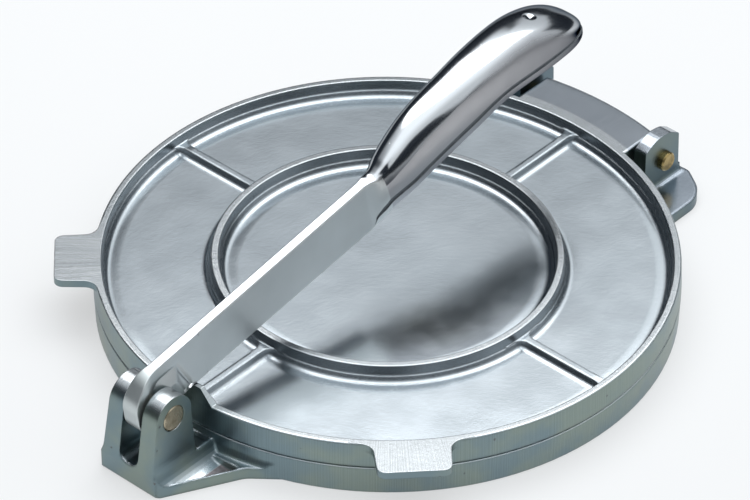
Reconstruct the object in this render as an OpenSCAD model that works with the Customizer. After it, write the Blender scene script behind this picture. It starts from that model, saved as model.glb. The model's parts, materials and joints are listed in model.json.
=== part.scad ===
// Cast tortilla press: two ribbed round plates, a hinge at the back and a lever in a clevis at the front.
// The axis of the plates is Z, the table is z = 0, the hinge lies at +Y and the lever's clevis at -Y.

/* [Plates] */
// Diameter of the pressing plates at their parting line
plate_d = 203; // [196:0.5:212]
// Height of the lower plate, table to pressing face
base_h = 11; // [10:0.2:13]
// Height of the upper plate, pressing face to rim
top_h = 9.8; // [8.6:0.2:12]
// Gap left between the closed pressing faces
plate_gap = 0.3; // [0.2:0.05:0.6]
// Thickness of each plate's floor
floor_t = 3.8; // [3:0.2:5]
// How much each outer wall draws in towards its rim, on the radius
wall_draft = 0.4; // [0:0.1:0.8]
// Rounding of the plates' outer edges
edge_r = 0.7; // [0.3:0.1:1]

/* [Rim, ring and ribs] */
// Width of the rim along its top
rim_w = 2.6; // [2:0.1:4]
// Outer diameter of the stiffening ring along its top
ring_d = 121.6; // [100:0.2:136]
// Width of the stiffening ring along its top
ring_w = 2.5; // [2:0.1:4]
// Width of a rib along its top
rib_w = 2.8; // [2:0.1:5]
// How far the ribs stay below the rim
rib_drop = 3.3; // [2:0.1:5]
// Draft angle of the cast walls
draft = 8; // [2:0.5:12]
// Fillet where a wall meets the floor
floor_r = 2.2; // [1:0.1:3]
// Fillet round the middle dish
dish_r = 2.6; // [1:0.1:3]
// Height of the step at the foot of the rim and the ring
step_h = 2.2; // [1:0.1:3]
// Width of that step
step_w = 0.5; // [0.2:0.1:1]
// Flare where a rib runs into the rim or the ring
flare_r = 3.6; // [1:0.1:5]

/* [Lift tabs] */
// Width of a lift tab
tab_w = 25.2; // [18:0.2:32]
// How far a lift tab stands out from the plate's edge
tab_out = 13.1; // [9:0.1:20]
// Thickness of a lift tab
tab_t = 2.8; // [2.4:0.2:6]
// Angle of the lift tabs, either side of the clevis
tab_angle = 46.3; // [35:0.1:60]
// Rounding of a tab's corners
tab_corner_r = 3.2; // [1:0.2:6]
// Fillet at a tab's root
tab_root_r = 5; // [2:0.5:8]

/* [Pressing pad] */
// Height of the pad above the rim
pad_h = 4.9; // [3.5:0.1:6]
// Width of the pad along its top
pad_w = 12; // [8:0.5:16]
// Width of the pad where its slopes meet the rim
pad_foot_w = 22.6; // [20:0.2:28]
// How far the pad's front leans back
pad_lean = 1; // [0:0.1:1.5]

/* [Clevis] */
// Distance of the lever pin outside the plates' edge
pivot_out = 16.2; // [15:0.1:19.5]
// Height of the lever pin above the table
pivot_z = 27.1; // [26:0.1:29]
// Radius of the clevis ears round the lever pin
ear_r = 8.3; // [7.5:0.1:9]
// Width over the clevis ears at the lever pin
clevis_w = 21.4; // [19:0.2:25]
// Draft of the clevis sides, added to each side at the foot
clevis_draft = 1; // [0.4:0.1:2]
// Width of the slot for the lever
slot_w = 8.6; // [8:0.1:10]
// Height of the slot's bottom above the table
slot_z = 8.2; // [7:0.1:9]
// Reach of the clevis foot in front of the lever pin
clevis_toe = 11.3; // [10:0.1:13]
// Reach of the clevis foot behind the lever pin
clevis_heel = 9.2; // [8.4:0.1:10]
// Thickness of the lugs that carry the clevis and the hinge ears
lug_t = 4.4; // [3.5:0.1:6]
// Width of the front lug at its tip
lug_tip_w = 25.8; // [24:0.2:30]
// Width of the front lug at the plate
lug_root_w = 55; // [48:0.5:64]
// Floor thickness under the lug's side pockets
pocket_floor = 1.8; // [1.2:0.1:2.6]
// Border left round a side pocket
pocket_border = 0.9; // [0.8:0.1:2]

/* [Hinge] */
// Distance of the hinge pins outside the plates' edge
hinge_out = 9.9; // [9:0.1:11.5]
// Height of the hinge pins above the table
hinge_z = 13.9; // [13.4:0.1:14.4]
// Width of the upper plate's hinge block
block_w = 50; // [40:0.5:56]
// Reach of the hinge block beyond its pins
block_past = 6.8; // [5.6:0.1:8.6]
// Rolled back edge of the hinge block
block_roll = 3.4; // [1.5:0.1:4]
// Gap between the hinge block and each ear
ear_gap = 1.5; // [0.6:0.1:2.5]
// Thickness of a hinge ear
ear_t = 5.2; // [4:0.1:7]
// Height of a hinge ear above the hinge pin
ear_top = 11.4; // [10:0.1:13]
// Reach of the hinge lugs beyond the hinge pins
lug_past = 11; // [9.6:0.2:14.6]
// Reach of a hinge lug beyond its ear
lug_side = 15; // [10:0.2:20]
// Rounded outer corner of a hinge lug
lug_corner_r = 12; // [6:0.5:14]

/* [Pins] */
// Diameter of the lever pin
lever_pin_d = 9.6; // [8:0.1:10.5]
// Diameter of the hinge pins
hinge_pin_d = 7.2; // [6:0.1:8.4]
// How far a hinge pin stands out of its ear
pin_proud = 2.4; // [0.5:0.1:3]
// How far a hinge pin reaches into the hinge block
pin_bite = 16; // [8:0.5:19]
// Running clearance of a pin, on the radius
run_fit = 0.08; // [0.04:0.01:0.1]
// Clearance of a pin driven into its ears, on the radius
drive_fit = 0.01; // [0.01:0.01:0.03]
// Chamfer of the pins' ends
pin_chamfer = 0.5; // [0.2:0.1:0.8]

/* [Lever] */
// Thickness of the lever at its hub
hub_w = 7; // [6:0.1:7.6]
// Radius of the lever's hub
hub_r = 9.2; // [8.6:0.1:10]
// Thickness of the bar along its top
bar_top_w = 3.6; // [3:0.1:5]
// Thickness of the bar along its underside
bar_foot_w = 6.6; // [5:0.1:7]
// Height of the bar's top above the lever pin
bar_top = 14.6; // [12:0.1:17]
// Rise of the bar's top towards the grip
bar_rise = 1.2; // [0:0.1:2]
// Depth of the bar's underside below the lever pin
bar_drop = 3.6; // [2.5:0.1:4.5]
// Gap between the bar and the pressing pad
nose_gap = 0.15; // [0.1:0.05:0.3]
// Length of the boss behind the lever pin
boss_l = 12; // [10:0.2:13.6]
// Height of the boss above the lever pin
boss_h = 7.6; // [5:0.1:8]

/* [Grip] */
// Distance from the lever pin to the start of the grip
grip_start = 106; // [100:0.5:112]
// Distance from the lever pin to the grip's tip
grip_end = 218.4; // [205:0.2:224]
// Full width of the grip near its tip
grip_w = 27; // [22:0.2:32]
// Height of the grip's crown above the bar's top
grip_rise = 14.8; // [10:0.2:20]
// Wall of the hollow grip
grip_wall = 2.6; // [2:0.1:3.5]
// Rise of the grip's lower edge above the bar's underside
grip_edge_rise = 16.6; // [12:0.2:19]
// Distance of the dimple in the crown from the grip's tip
dimple_back = 21.6; // [14:0.2:40]
// Radius of the ball that makes the dimple
dimple_r = 4; // [2:0.1:6]
// Depth of the dimple
dimple_h = 0.7; // [0.3:0.1:1.2]

/* [Hidden] */
$fn = 96;

plate_r = plate_d / 2;
ring_r = ring_d / 2;
tab_reach = plate_r + tab_out;
pivot_y = plate_r + pivot_out;
hinge_y = plate_r + hinge_out;
block_reach = hinge_y + block_past;
lug_reach = hinge_y + lug_past;
part_z = base_h + plate_gap;
rim_z = part_z + top_h;
rib_ends = [ring_r - ring_w / 2, plate_r - wall_draft - rim_w / 2];
pad_z = rim_z + pad_h;
pad_front = plate_r - wall_draft - pad_lean;
ear_in = block_w / 2 + ear_gap;
ear_out = ear_in + ear_t;
lug_out = ear_out + lug_side;

// The lever leans so that its underside clears the pad's front edge by nose_gap.
nose_run = [pivot_y - pad_front, pad_z - pivot_z];
lever_angle = atan2(nose_run.y, nose_run.x) + asin((bar_drop + nose_gap) / norm(nose_run));

// Stations along the grip: share of its length, half width, crown and edge as shares of their sizes,
// power of the arched section and how much narrower it is at its crown
grip_table = [
    [0.000, 0.235, -0.01, 0.00, 9.0, 0.45],
    [0.071, 0.44, 0.10, 0.34, 4.6, 0.26],
    [0.160, 0.56, 0.32, 0.60, 3.0, 0.06],
    [0.285, 0.68, 0.68, 0.73, 2.8, 0],
    [0.436, 0.72, 0.95, 0.84, 2.8, 0],
    [0.614, 0.84, 1.00, 1.00, 2.8, 0],
    [0.792, 1.00, 0.79, 0.96, 2.8, 0],
    [1.000, 1.14, 0.29, 0.75, 2.8, 0],
];
cap_from = 0.73;
cap_power = 2.3;
bar_tongue = 2.4;
grip_rings = 30;
grip_sides = 22;

function unit(v) = v / norm(v);

// A corner b between a and c, rounded with radius r in n or more steps
function corner(a, b, c, r, n) =
    let (u = unit(a - b), v = unit(c - b), half = acos(u * v) / 2)
    r <= 0 || half > 89.5 ? [b] :
    let (m = b + unit(u + v) * r / sin(half), d = r / tan(half), p = b + u * d - m, q = b + v * d - m,
         a0 = atan2(p.y, p.x), da = (atan2(q.y, q.x) - a0 + 540) % 360 - 180,
         k = max(n, ceil(abs(da) / 15 * sqrt(r / 3))))
    [for (i = [0:k]) m + r * [cos(a0 + da * i / k), sin(a0 + da * i / k)]];

// An outline from [x, y, radius] corners
function rounded(p, n = 3) =
    [for (i = [0:len(p) - 1])
        let (a = p[(i + len(p) - 1) % len(p)], b = p[i], c = p[(i + 1) % len(p)])
        each corner([a.x, a.y], [b.x, b.y], [c.x, c.y], b[2], n)];

// A table's column c at share t, as a smooth curve through its rows
function slope(tab, c, i) =
    i == 0 ? (tab[1][c] - tab[0][c]) / (tab[1][0] - tab[0][0])
    : i == len(tab) - 1 ? (tab[i][c] - tab[i - 1][c]) / (tab[i][0] - tab[i - 1][0])
    : (tab[i + 1][c] - tab[i - 1][c]) / (tab[i + 1][0] - tab[i - 1][0]);
function row_at(tab, t, i = 0) = i >= len(tab) - 2 || t <= tab[i + 1][0] ? i : row_at(tab, t, i + 1);
function curve(tab, c, t) =
    let (i = row_at(tab, t), h = tab[i + 1][0] - tab[i][0], u = (t - tab[i][0]) / h)
    (2 * u ^ 3 - 3 * u ^ 2 + 1) * tab[i][c] + (u ^ 3 - 2 * u ^ 2 + u) * h * slope(tab, c, i)
    + (3 * u ^ 2 - 2 * u ^ 3) * tab[i + 1][c] + (u ^ 3 - u ^ 2) * h * slope(tab, c, i + 1);

// Everything drawn in a plane of y and z becomes a slab of width w about x = 0
module slab(w) { translate([-w / 2, 0, 0]) rotate([90, 0, 90]) linear_extrude(w) children(); }

// Half outline of a ribbed plate: r across, height up, with its pressing face at 0 and its rim at h
function plate_outline(h) =
    let (inner = plate_r - wall_draft - rim_w, ring_in = ring_r - ring_w, z = floor_t + step_h,
         fall = tan(draft) * (h - z), foot = fall + step_w + tan(draft) * step_h)
    rounded([
        [0, 0, 0],
        [plate_r, 0, edge_r],
        [plate_r - wall_draft, h, edge_r],
        [inner, h, edge_r / 2],
        [inner - fall, z, 0.2], [inner - fall - step_w, z, 0.2],
        [inner - foot, floor_t, floor_r * 0.8],
        [ring_r + foot, floor_t, floor_r * 0.8],
        [ring_r + fall + step_w, z, 0.2], [ring_r + fall, z, 0.2],
        [ring_r, h, edge_r / 2],
        [ring_in, h, edge_r / 2],
        [ring_in - fall, z, 0.2], [ring_in - fall - step_w, z, 0.2],
        [ring_in - foot, floor_t, dish_r * 0.8],
        [0, floor_t, 0]]);

// One rib along +X, its top rib_drop below the rim, with a fillet along each foot and flared ends
module rib(h) {
    top = h - rib_drop;
    foot = rib_w / 2 + tan(draft) * (top - floor_t);
    run = rib_ends[1] - rib_ends[0];
    translate([rib_ends[0], 0, 0]) rotate([90, 0, 90]) linear_extrude(run) polygon(rounded([
        [-foot - floor_r * 2, floor_t - 1, 0], [foot + floor_r * 2, floor_t - 1, 0],
        [foot + floor_r * 2, floor_t, 0], [foot, floor_t, floor_r * 0.8], [rib_w / 2, top, 0.4],
        [-rib_w / 2, top, 0.4], [-foot, floor_t, floor_r * 0.8], [-foot - floor_r * 2, floor_t, 0]]));
    wall = tan(draft) * rib_drop;
    for (end = [[ring_r + wall, 1], [plate_r - wall_draft - rim_w - wall, -1]], side = [1, -1])
        translate([end[0], 0, floor_t - 1]) linear_extrude(top - floor_t + 1)
            scale([end[1], side]) polygon(rounded([
                [-2, 0, 0], [flare_r * 1.9, 0, 0], [flare_r * 1.9, rib_w / 2, 0], [0, rib_w / 2, flare_r],
                [0, rib_w / 2 + flare_r * 1.9, 0], [-2, rib_w / 2 + flare_r * 1.9, 0]]));
}

// A ribbed disc with its pressing face at z = 0 and its rim upwards
module ribbed_plate(h) {
    rotate_extrude() polygon(plate_outline(h));
    for (a = [0:90:270]) rotate(a) rib(h);
}

// Flat tab, level with the rim, that starts in the middle of the rim's width
module lift_tab() {
    half = tab_w / 2;
    side = half + tab_root_r * 1.7;
    taper = 0.3;
    translate([0, 0, rim_z - tab_t]) difference() {
        linear_extrude(tab_t) polygon(rounded([
            [plate_r * 0.8, -side, 0], [sqrt((plate_r - 0.8) ^ 2 - side ^ 2), -side, 0],
            [sqrt(plate_r ^ 2 - half ^ 2) - 0.2, -half - taper, tab_root_r],
            [tab_reach, -half + taper, tab_corner_r], [tab_reach, half - taper, tab_corner_r],
            [sqrt(plate_r ^ 2 - half ^ 2) - 0.2, half + taper, tab_root_r],
            [sqrt((plate_r - 0.8) ^ 2 - side ^ 2), side, 0], [plate_r * 0.8, side, 0]]));
        translate([0, 0, -1]) cylinder(r = plate_r - wall_draft - rim_w / 2, h = tab_t + 2);
    }
}

// The rim rises to a flat pad under the lever's nose
module pressing_pad() {
    inner = plate_r - wall_draft - rim_w;
    intersection() {
        rotate_extrude() polygon([[inner - 0.6, floor_t + part_z], [plate_r - wall_draft, floor_t + part_z],
            [plate_r - wall_draft, rim_z - edge_r], [pad_front, pad_z], [inner, pad_z]]);
        translate([0, -pad_front + 10, 0]) rotate([90, 0, 0]) linear_extrude(20)
            polygon([[-pad_foot_w / 2, floor_t + part_z], [pad_foot_w / 2, floor_t + part_z],
                [pad_foot_w / 2, rim_z], [pad_w / 2, pad_z], [-pad_w / 2, pad_z], [-pad_foot_w / 2, rim_z]]);
    }
}

// Flat crescent at the back whose edges roll down, deepest round the hinge pins
module hinge_block() {
    under = hinge_z - hinge_pin_d / 2 - 2.4;
    half = block_w / 2;
    near = plate_r * 0.8;
    intersection() {
        rotate_extrude() polygon(rounded([
            [plate_r - rim_w, part_z + floor_t, 0], [plate_r + 2.4, part_z + floor_t, 1.5],
            [plate_r + 3.4, under, 1.5], [block_reach - 0.6, under, 2],
            [block_reach, rim_z, block_roll], [plate_r - rim_w, rim_z, 0]]));
        translate([0, block_reach + 1, 0]) rotate([90, 0, 0]) linear_extrude(block_reach + 1 - near)
            polygon(rounded([[-half, 1, 0], [half, 1, 0], [half, rim_z, 1.2], [-half, rim_z, 1.2]]));
    }
}

module hinge_bores(fit, x0, x1) {
    for (s = [-1, 1]) translate([s * (x0 + x1) / 2, hinge_y, hinge_z]) rotate([0, 90, 0])
        cylinder(d = hinge_pin_d + 2 * fit, h = x1 - x0, center = true);
}

module top_plate() {
    color("silver") difference() {
        union() {
            translate([0, 0, part_z]) ribbed_plate(top_h);
            for (a = [-90 - tab_angle, -90 + tab_angle]) rotate(a) lift_tab();
            pressing_pad();
            hinge_block();
        }
        hinge_bores(run_fit, block_w / 2 - pin_bite - 1, block_w / 2 + 1);
    }
}

module front_lug_outline() {
    tip = pivot_y + clevis_toe - 0.4;
    half = lug_root_w / 2;
    polygon(rounded([
        [-half - 12, -plate_r + 10, 0], [-half, -plate_r, 10], [-lug_tip_w / 2, -tip, 2.6],
        [lug_tip_w / 2, -tip, 2.6], [half, -plate_r, 10], [half + 12, -plate_r + 10, 0]]));
}

// Trapezoid lug with a pocket each side of the clevis and a sloped bead along the plate's wall
module front_lug() {
    tip = pivot_y + clevis_toe - 0.4;
    lean = (lug_root_w - lug_tip_w) / 2 / (tip - plate_r);
    edge = function(y) lug_tip_w / 2 + (tip - y) * lean - pocket_border;
    near = plate_r + 1.4;
    intersection() {
        rotate_extrude() polygon([[plate_r - 4, 1], [plate_r + 1.2, 1], [plate_r + 1.2, lug_t],
            [plate_r - 0.2, lug_t + 2.6], [plate_r - 4, lug_t + 2.6]]);
        linear_extrude(base_h) front_lug_outline();
    }
    difference() {
        linear_extrude(lug_t) front_lug_outline();
        for (s = [-1, 1]) translate([0, 0, pocket_floor]) linear_extrude(lug_t) polygon(rounded([
            for (q = [[edge(tip - 3), 3 - tip, 0.3], [edge(near), -near, 0.6],
                [clevis_w / 2 + 1, -near - 1.4, 0.6], [clevis_w / 2, 3 - tip, 0]]) [s * q.x, q.y, q[2]]]));
    }
}

// Two ears on a pillar whose sides sweep out into the lug's pockets
module clevis() {
    toe = pivot_y + clevis_toe;
    heel = pivot_y - clevis_heel;
    half = clevis_w / 2;
    sweep = 10;
    root = plate_r - 1;
    foot = half + clevis_draft;
    far = foot + sweep * 2;
    top = pivot_z + ear_r + 1;
    difference() {
        union() {
            intersection() {
                slab(clevis_w * 2) {
                    translate([-pivot_y, pivot_z]) circle(ear_r);
                    polygon([[-toe, 0.5], [-toe - 0.1, lug_t + 3],
                        [-pivot_y - ear_r * cos(5), pivot_z + ear_r * sin(5)],
                        [-pivot_y + ear_r * cos(10), pivot_z + ear_r * sin(10)], [-pivot_y + ear_r, pivot_z - 3],
                        [-heel, slot_z], [-root, slot_z], [-root, 0.5]]);
                }
                translate([0, -root, 0]) rotate([90, 0, 0]) linear_extrude(toe - root + 2)
                    polygon(rounded([
                        [-far, 0.5, 0], [far, 0.5, 0], [far, pocket_floor, 0], [foot, pocket_floor, sweep],
                        [half - 0.2, top, 0], [-half + 0.2, top, 0],
                        [-foot, pocket_floor, sweep], [-far, pocket_floor, 0]]));
                linear_extrude(pivot_z * 2) {
                    front_lug_outline();
                    translate([-lug_tip_w / 2 + 0.6, -toe - 1]) square([lug_tip_w - 1.2, toe - heel + 1]);
                }
            }
        }
        translate([0, -heel + 5, 0]) rotate([90, 0, 0]) linear_extrude(toe - heel + 10) polygon(rounded([
            [-slot_w / 2, slot_z, slot_w * 0.42], [slot_w / 2, slot_z, slot_w * 0.42],
            [slot_w / 2, pivot_z * 2, 0], [-slot_w / 2, pivot_z * 2, 0]], 8));
        translate([0, -pivot_y, pivot_z]) rotate([0, 90, 0])
            cylinder(d = lever_pin_d + 2 * drive_fit, h = clevis_w * 2, center = true);
    }
}

// Flat lug with a rounded outer corner and the upright ear that holds a hinge pin
module hinge_lug() {
    back = plate_r - wall_draft;
    near = plate_r * 0.8;
    linear_extrude(lug_t) polygon(rounded([
        [ear_in - 1, near, 0], [ear_in - 1, lug_reach - 0.6, 2], [ear_out + 3, lug_reach, 5],
        [lug_out, hinge_y + 3.4, lug_corner_r], [lug_out, sqrt(back ^ 2 - lug_out ^ 2) + 2, 5],
        [lug_out + 7, sqrt(back ^ 2 - (lug_out + 7) ^ 2) - 1, 0], [ear_out, near, 0]]));
    top = hinge_z + ear_top;
    translate([ear_in, 0, 0]) rotate([90, 0, 90]) linear_extrude(ear_t) polygon(rounded([
        [hinge_y - 14, 1, 0], [hinge_y - 14, part_z - 3, 1], [hinge_y - 10.2, part_z - 3, 1],
        [hinge_y - 10.2, top - 3.4, 1], [hinge_y - 3.8, top + 0.2, 12], [hinge_y + 3.4, top - 1, 8],
        [hinge_y + 8.1, top - 3.9, 1.2], [hinge_y + 8.6, lug_t, 1.4], [lug_reach - 0.8, lug_t, 0],
        [lug_reach - 0.8, 1, 0]]));
    // fillet along the ear's foot
    translate([ear_out, hinge_y + 9.4, lug_t]) rotate([90, 0, 0]) linear_extrude(21)
        polygon(rounded([[-1, -1, 0], [3, -1, 0], [3, 0, 0], [0, 0, 2], [0, 3, 0], [-1, 3, 0]]));
}

module base_plate() {
    color("silver") difference() {
        union() {
            translate([0, 0, base_h]) mirror([0, 0, 1]) ribbed_plate(base_h);
            // what stands round the plate starts in the middle of its rim's width
            difference() {
                union() {
                    front_lug();
                    clevis();
                    hinge_lug();
                    mirror([1, 0, 0]) hinge_lug();
                }
                translate([0, 0, -1]) cylinder(r = plate_r - wall_draft - rim_w / 2, h = base_h + 5);
            }
        }
        hinge_bores(drive_fit, ear_in - 1, ear_out + 1);
    }
}

// Side view of the lever in its own axes: along the bar from the lever pin, and up
module bar_side(l) {
    circle(hub_r);
    polygon(rounded([
        [0, -bar_drop, 0], [l, -bar_drop, 0.8], [l, bar_top + bar_rise, 0], [-1.5, bar_top, 10],
        [-hub_r, bar_top * 0.48, 8], [-hub_r, 0, 0]]));
}

// Section of the drafted bar, wider along its underside, where the hub hangs below it
module bar_section(w_top, w_foot) {
    top = bar_top + bar_rise;
    polygon(rounded([[-w_foot / 2, -hub_r - 1, 0], [w_foot / 2, -hub_r - 1, 0], [w_foot / 2, -bar_drop, 0],
        [w_top / 2, top, 0.4], [-w_top / 2, top, 0.4], [-w_foot / 2, -bar_drop, 0]]));
}

// Ring i of the grip: an arch of n + 1 points, shrunk inside by wall
function grip_ring(t, wall, n) =
    let (s = grip_start + (grip_end - grip_start) * t, c = max(0, (t - cap_from) / (1 - cap_from)),
         cap = sqrt(max(0, 1 - c ^ cap_power)),
         half = grip_w / 2 * curve(grip_table, 1, t) * cap,
         edge = -bar_drop + grip_edge_rise * curve(grip_table, 3, t),
         crown = edge + (bar_top + bar_rise + grip_rise * curve(grip_table, 2, t) - edge) * cap)
    [for (k = [0:n]) let (a = 180 * k / n, e = 2 / curve(grip_table, 4, t), up = abs(sin(a)) ^ e)
        [(half - wall) * sign(cos(a)) * abs(cos(a)) ^ e * (1 - curve(grip_table, 5, t) * up), s,
            edge + (crown - edge - wall) * up]];

// Outer and inner skins of the grip, closed along the lower edge and at both ends
module grip() {
    n = grip_sides;
    m = grip_rings;
    share = function(i) i / m < 0.6 ? i / m / 0.6 * cap_from
        : cap_from + (1 - cap_from) * sin(90 * (i / m - 0.6) / 0.4);
    inner_to = 1 - grip_wall * 1.2 / (grip_end - grip_start);
    inner_from = 0.09;
    outer = [for (i = [0:m]) each grip_ring(min(share(i), 0.9995), 0, n)];
    inner = [for (i = [0:m]) each grip_ring(
        inner_from + (inner_to - inner_from) * min(share(i), 0.9995), grip_wall, n)];
    w = n + 1;
    o = (m + 1) * w;
    tri = function(a, b, c, d) [[c, b, a], [d, c, a]];
    polyhedron(concat(outer, inner), concat(
        [for (i = [0:m - 1], k = [0:n - 1])
            each tri(i * w + k, (i + 1) * w + k, (i + 1) * w + k + 1, i * w + k + 1)],
        [for (i = [0:m - 1], k = [0:n - 1])
            each tri(o + i * w + k + 1, o + (i + 1) * w + k + 1, o + (i + 1) * w + k, o + i * w + k)],
        [for (i = [0:m - 1]) each tri(i * w, o + i * w, o + (i + 1) * w, (i + 1) * w)],
        [for (i = [0:m - 1]) each tri((i + 1) * w + n, o + (i + 1) * w + n, o + i * w + n, i * w + n)],
        [for (k = [0:n - 1]) each tri(k + 1, o + k + 1, o + k, k)],
        [for (k = [0:n - 1]) each tri(m * w + k, o + m * w + k, o + m * w + k + 1, m * w + k + 1)]));
}

// Ball that leaves the shallow dimple in the grip's crown
module dimple() {
    s = grip_end - dimple_back;
    t = (s - grip_start) / (grip_end - grip_start);
    crown = bar_top + bar_rise + grip_rise * curve(grip_table, 2, t);
    cap = sqrt(max(0, 1 - max(0, (t - cap_from) / (1 - cap_from)) ^ cap_power));
    edge = -bar_drop + grip_edge_rise * curve(grip_table, 3, t);
    translate([0, s, edge + (crown - edge) * cap + dimple_r - dimple_h]) sphere(dimple_r);
}

module lever() {
    color("gainsboro") translate([0, -pivot_y, pivot_z]) rotate([lever_angle, 0, 0]) {
        difference() {
            union() {
                // straight drafted bar
                intersection() {
                    slab(20) bar_side(grip_start + bar_tongue);
                    translate([0, grip_start + bar_tongue, 0]) rotate([90, 0, 0])
                        linear_extrude(grip_start * 1.4) bar_section(bar_top_w, bar_foot_w);
                }
                // thick hub
                rotate([0, 90, 0]) cylinder(r = hub_r, h = hub_w, center = true);
                // boss behind it, whose two faces meet in a ridge each side
                intersection() {
                    slab(hub_w)
                        polygon([[0, -bar_drop], [boss_l + 3.6, -bar_drop], [boss_l, boss_h], [1, boss_h + 1.8]]);
                    translate([0, boss_l * 2, 0]) rotate([90, 0, 0]) linear_extrude(boss_l * 3) polygon([
                        [-hub_w / 2, -bar_drop], [hub_w / 2, -bar_drop], [hub_w / 2, 0.6],
                        [bar_top_w / 2, bar_top * 0.7], [-bar_top_w / 2, bar_top * 0.7], [-hub_w / 2, 0.6]]);
                    translate([0, 0, -bar_drop]) linear_extrude(bar_top) polygon([
                        [-hub_w / 2, -1], [hub_w / 2, -1], [hub_w / 2, boss_l - 2], [bar_top_w / 2, boss_l + 6],
                        [-bar_top_w / 2, boss_l + 6], [-hub_w / 2, boss_l - 2]]);
                }
                grip();
            }
            rotate([0, 90, 0]) cylinder(d = lever_pin_d + 2 * run_fit, h = hub_w * 3, center = true);
            dimple();
        }
    }
}

// A pin along X with chamfered ends
module pin(d, l) {
    rotate([0, 90, 0]) rotate_extrude() polygon([[0, -l / 2], [d / 2 - pin_chamfer, -l / 2],
        [d / 2, pin_chamfer - l / 2], [d / 2, l / 2 - pin_chamfer], [d / 2 - pin_chamfer, l / 2], [0, l / 2]]);
}

module lever_pin() {
    color("darkkhaki") translate([0, -pivot_y, pivot_z]) pin(lever_pin_d, clevis_w + 0.4);
}

module hinge_pin(side) {
    reach = [block_w / 2 - pin_bite, ear_out + pin_proud];
    color("goldenrod") translate([side * (reach[0] + reach[1]) / 2, hinge_y, hinge_z])
        pin(hinge_pin_d, reach[1] - reach[0]);
}

module hinge_pin_left() { hinge_pin(-1); }

module hinge_pin_right() { hinge_pin(1); }

base_plate();
top_plate();
lever();
lever_pin();
hinge_pin_left();
hinge_pin_right();
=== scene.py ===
import json
import math

import bmesh
import bpy
import numpy as np
from mathutils import Matrix


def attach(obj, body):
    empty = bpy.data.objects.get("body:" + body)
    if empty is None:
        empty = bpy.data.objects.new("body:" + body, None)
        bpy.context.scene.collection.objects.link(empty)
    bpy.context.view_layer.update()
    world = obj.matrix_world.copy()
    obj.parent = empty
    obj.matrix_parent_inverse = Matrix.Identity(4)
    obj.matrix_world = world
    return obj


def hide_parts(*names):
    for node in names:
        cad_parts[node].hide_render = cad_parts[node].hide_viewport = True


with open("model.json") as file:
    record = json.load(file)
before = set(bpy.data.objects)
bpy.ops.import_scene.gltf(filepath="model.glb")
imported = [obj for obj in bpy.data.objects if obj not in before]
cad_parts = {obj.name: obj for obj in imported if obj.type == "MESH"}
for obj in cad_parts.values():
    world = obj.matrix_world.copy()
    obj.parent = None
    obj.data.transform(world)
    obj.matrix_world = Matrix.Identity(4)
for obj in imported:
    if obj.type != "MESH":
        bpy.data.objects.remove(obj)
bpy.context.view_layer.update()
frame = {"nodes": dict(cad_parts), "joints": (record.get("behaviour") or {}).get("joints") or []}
nodes = frame["nodes"]
MM = 0.001

# Sizes are in millimetres.
# The round plates: their outer wall, and the insides of the rim and of the stiffening ring.
PLATE_R, RIM_IN, RING_IN = 101.5, 98.5, 58.3
# Heights of the upper plate's rim and trays, of the base, and of the floors of its recesses and pockets.
RIM_Z, TRAY_Z, BASE_Z, RECESS_Z, POCKET_Z = 21.1, 15.1, 11.0, 7.2, 2.4
# The lever's own axes start at its pin, here in metres, and lean with the bar.
pivot = np.array(next(j for j in frame["joints"] if j["name"] == "lever_pivot")["pos_m"])
LEAN = math.radians(8.70)
# Along them: where the grip's shell starts, where its buffing starts, and its tip.
GRIP_FROM, BUFFED_FROM, GRIP_TO = 107.0, 114.4, 218.4


# ---------------------------------------------------------------- materials

NOISE, RANGE, MIX, MATH, BUMP = (
    "ShaderNodeTexNoise", "ShaderNodeMapRange", "ShaderNodeMix", "ShaderNodeMath", "ShaderNodeBump")
SEPARATE, VECTOR = "ShaderNodeSeparateXYZ", "ShaderNodeVectorMath"
SMOOTH, COLOUR, TIMES = {"interpolation_type": "SMOOTHSTEP"}, {"data_type": "RGBA"}, {"operation": "MULTIPLY"}
MINUS, OVER, SIZE_OF = {"operation": "SUBTRACT"}, {"operation": "DIVIDE"}, {"operation": "ABSOLUTE"}


def linear(hex_colour):
    """A hex sRGB colour as linear red, green, blue and alpha."""
    c = np.array([int(hex_colour[i:i + 2], 16) for i in (1, 3, 5)]) / 255
    rgb = np.where(c <= 0.04045, c / 12.92, ((c + 0.055) / 1.055) ** 2.4)
    return (*rgb.tolist(), 1.0)


def per_mm(size):
    """Scale of a noise on coordinates in metres whose blotches are about size millimetres across."""
    return 1 / (size * MM)


def add(tree, kind, settings, inputs, out=0):
    """Adds one node and gives its output number out. settings are the node's properties, and inputs its
    sockets' values or the sockets they are linked to."""
    n = tree.nodes.new(kind)
    for key, value in settings.items():
        setattr(n, key, value)
    for key, value in inputs.items():
        if isinstance(value, bpy.types.NodeSocket):
            tree.links.new(value, n.inputs[key])
        else:
            n.inputs[key].default_value = value
    return n.outputs[out]


def fill_ramp(colours, stops):
    """Gives the ramp that colours comes from its stops (position, grey level)."""
    band = colours.node.color_ramp
    while len(band.elements) < len(stops):
        band.elements.new(0.5)
    for element, (position, level) in zip(band.elements, stops):
        element.position, element.color = position, (level, level, level, 1.0)


def bare_metal(name):
    """A new bare metal material, its node tree, and its Object coordinates and normal."""
    mat = bpy.data.materials.new(name)
    mat.use_nodes = True
    tree = mat.node_tree
    tree.nodes["Principled BSDF"].inputs["Metallic"].default_value = 1.0
    place = add(tree, "ShaderNodeTexCoord", {}, {}, "Object")
    return mat, tree, place, place.node.outputs["Normal"]


def dress(tree, colour, rough, normal):
    """Links a metal's colour, roughness and normal to its shader."""
    bsdf = tree.nodes["Principled BSDF"]
    for socket, value in (("Base Color", colour), ("Roughness", rough), ("Normal", normal)):
        tree.links.new(value, bsdf.inputs[socket])


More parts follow.
